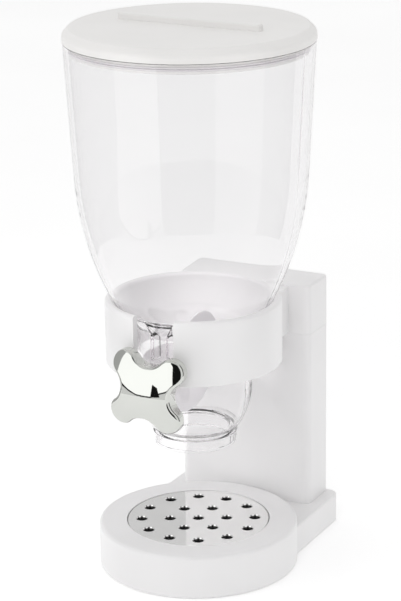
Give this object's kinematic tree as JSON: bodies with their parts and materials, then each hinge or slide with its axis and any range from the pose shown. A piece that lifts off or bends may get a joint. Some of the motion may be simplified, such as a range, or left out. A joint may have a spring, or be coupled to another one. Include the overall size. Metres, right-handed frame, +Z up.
{
  "type": "cereal dispenser",
  "caption": "Countertop dry-food dispenser: clear tapered canister with lid hung in a white ring stand, paddle wheel turned by a front knob, drip grille and tray in the base.",
  "frame": {"origin": "bottom centre of the whole dispenser's box, on the surface that the feet stand on", "axes": "+Z up along the canister's axis, -Y to the front where the knob is, +X to the right seen from the front"},
  "size_m": [0.1744, 0.2024, 0.3992],
  "materials": {
    "white_plastic": "white ABS, satin gloss",
    "lid_plastic": "white ABS, satin top",
    "base_plate_plastic": "white ABS, fine texture",
    "clear_plastic": "clear moulded plastic, polished",
    "chrome_plating": "bright chrome plating on plastic",
    "polished_steel": "polished stainless steel",
    "shaft_plastic": "natural acetal",
    "vane_silicone": "translucent white silicone",
    "foot_rubber": "grey rubber",
    "screw_steel": "zinc-plated steel"
  },
  "bodies": {
    "stand": {"base_housing": "white_plastic", "base_bottom_plate": "base_plate_plastic", "base_plate_screws": "screw_steel", "foot_front_left": "foot_rubber", "foot_front_right": "foot_rubber", "foot_rear_left": "foot_rubber", "foot_rear_right": "foot_rubber", "column_body": "white_plastic", "column_screws": "screw_steel", "ring_bracket": "white_plastic", "bracket_screws": "screw_steel"},
    "canister": {"canister": "clear_plastic", "outlet_collar": "clear_plastic", "shaft_bush": "shaft_plastic"},
    "lid": {"lid": "lid_plastic", "lid_seal": "vane_silicone"},
    "paddle": {"paddle_hub": "shaft_plastic", "paddle_vanes": "vane_silicone"},
    "knob": {"knob": "chrome_plating", "knob_shaft": "shaft_plastic"},
    "tray": {"crumb_tray": "base_plate_plastic"},
    "grille": {"crumb_grille": "polished_steel"}
  },
  "joints": [
    {"name": "canister_lift", "type": "slide", "parent": "stand", "child": "canister", "axis": [0, 0, 1], "range_m": [0, 0.115]},
    {"name": "lid_lift", "type": "slide", "parent": "canister", "child": "lid", "axis": [0, 0, 1], "range_m": [0, 0.06]},
    {"name": "paddle_turn", "type": "hinge", "parent": "canister", "child": "paddle", "pos_m": [0, -0.014, 0.1529], "axis": [0, -1, 0], "continuous": true},
    {"name": "knob_pull", "type": "slide", "parent": "paddle", "child": "knob", "axis": [0, -1, 0], "range_m": [0, 0.12]},
    {"name": "tray_lift", "type": "slide", "parent": "stand", "child": "tray", "axis": [0, 0, 1], "range_m": [0, 0.03]},
    {"name": "grille_lift", "type": "slide", "parent": "tray", "child": "grille", "axis": [0, 0, 1], "range_m": [0, 0.025]}
  ]
}
